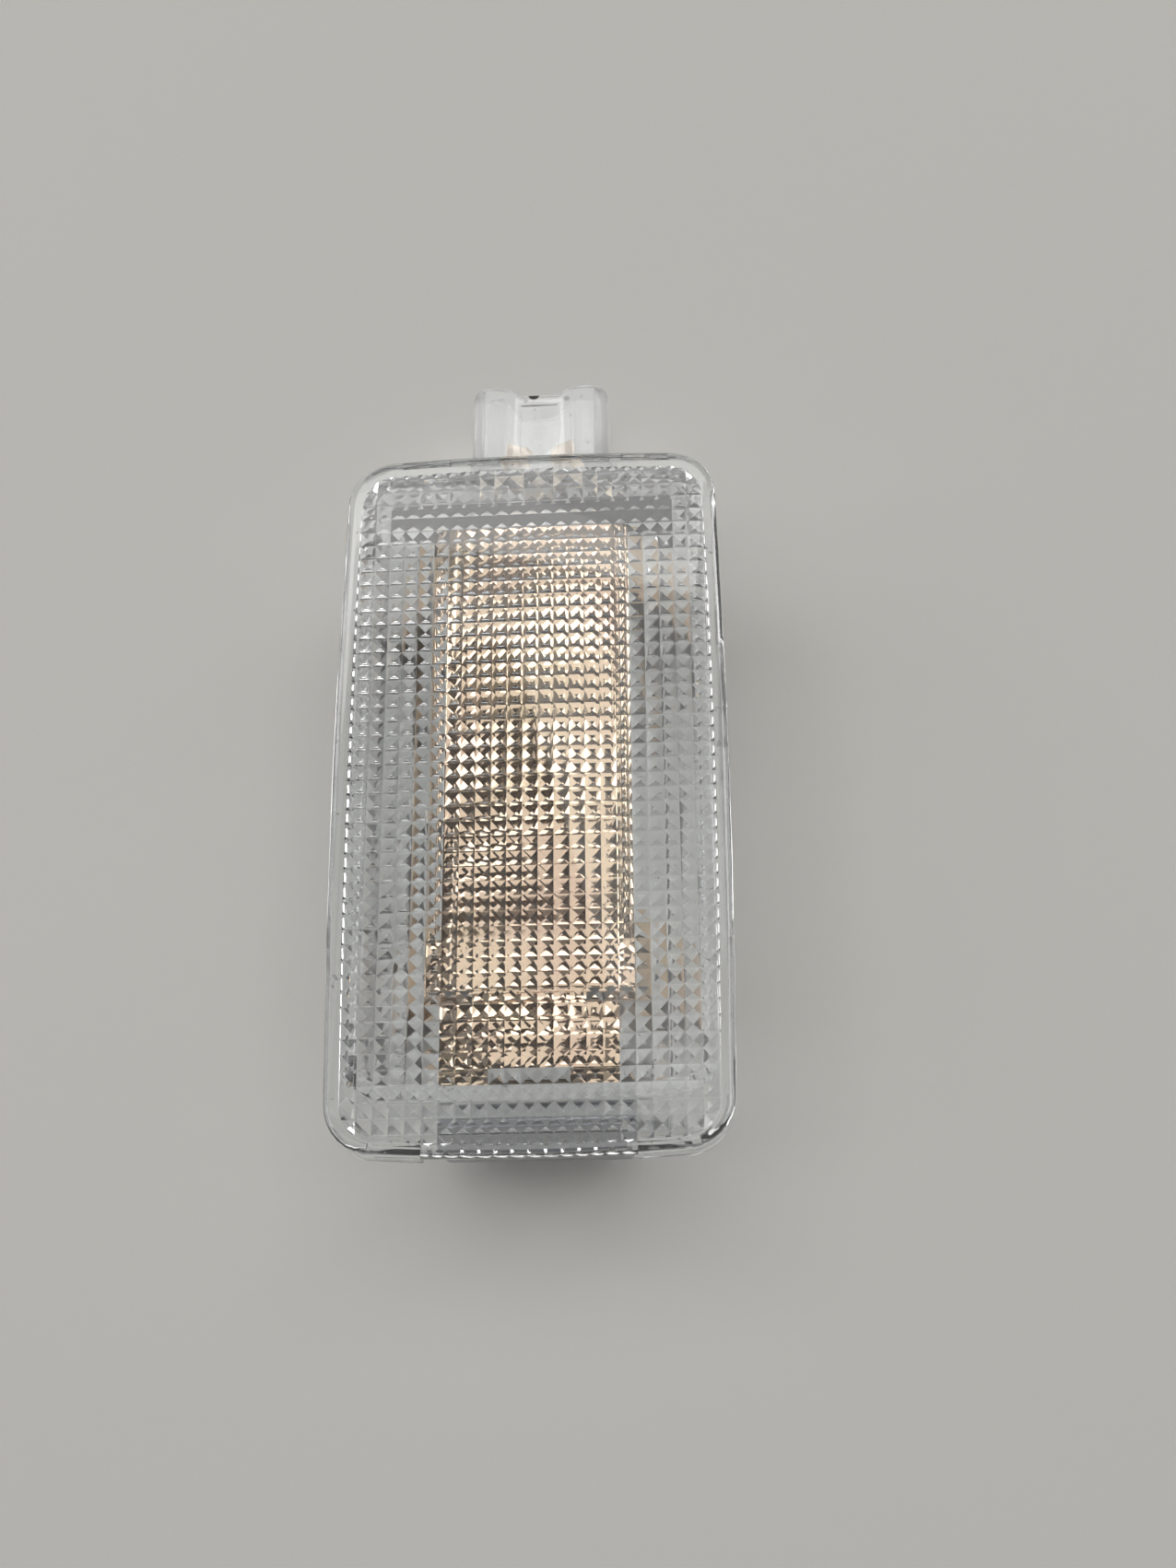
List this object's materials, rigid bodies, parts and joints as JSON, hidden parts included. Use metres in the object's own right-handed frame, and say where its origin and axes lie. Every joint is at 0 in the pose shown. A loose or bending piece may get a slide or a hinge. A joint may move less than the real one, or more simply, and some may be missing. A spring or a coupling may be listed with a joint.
{
  "type": "luggage compartment lamp",
  "caption": "Rectangular clip-in interior lamp with a clear prism lens, bright reflector, tubular bulb, spring clip and end connector.",
  "frame": {"origin": "centre of the bounding box in plan, at the housing's back face", "axes": "+Z out of the lens, +Y along the lamp towards the connector, +X to the right when the lens is seen from the front with the connector at the top"},
  "size_m": [0.032, 0.0716, 0.016],
  "materials": {
    "clear_lens": "polished clear polycarbonate",
    "clear_housing": "clear polycarbonate, satin where it was ejected",
    "dark_plastic": "matt",
    "bright_reflector": "bright rolled sheet",
    "contact_brass": "plain brass strip",
    "bulb_glass": "clear drawn glass",
    "cap_metal": "nickel plated",
    "solder": "dull solder",
    "tungsten": "dark drawn wire",
    "wire_metal": "drawn wire",
    "spring_steel": "blued and tumbled strip"
  },
  "bodies": {
    "lamp": {"lens": "clear_lens", "housing": "clear_housing", "terminal_bar": "dark_plastic", "reflector": "bright_reflector", "contact_live": "contact_brass", "contact_ground": "contact_brass", "bulb_glass": "bulb_glass", "bulb_cap_live": "cap_metal", "bulb_cap_ground": "cap_metal", "bulb_tip_live": "solder", "bulb_tip_ground": "solder", "filament": "tungsten", "filament_wire_live": "wire_metal", "filament_wire_ground": "wire_metal"},
    "clip": {"spring_clip": "spring_steel"}
  },
  "joints": [
    {"name": "clip_flex", "type": "hinge", "parent": "lamp", "child": "clip", "pos_m": [0, -0.0325, 0.0024], "axis": [-1, 0, 0], "range_deg": [0, 6], "stiffness_Nm_per_rad": 0.2}
  ]
}
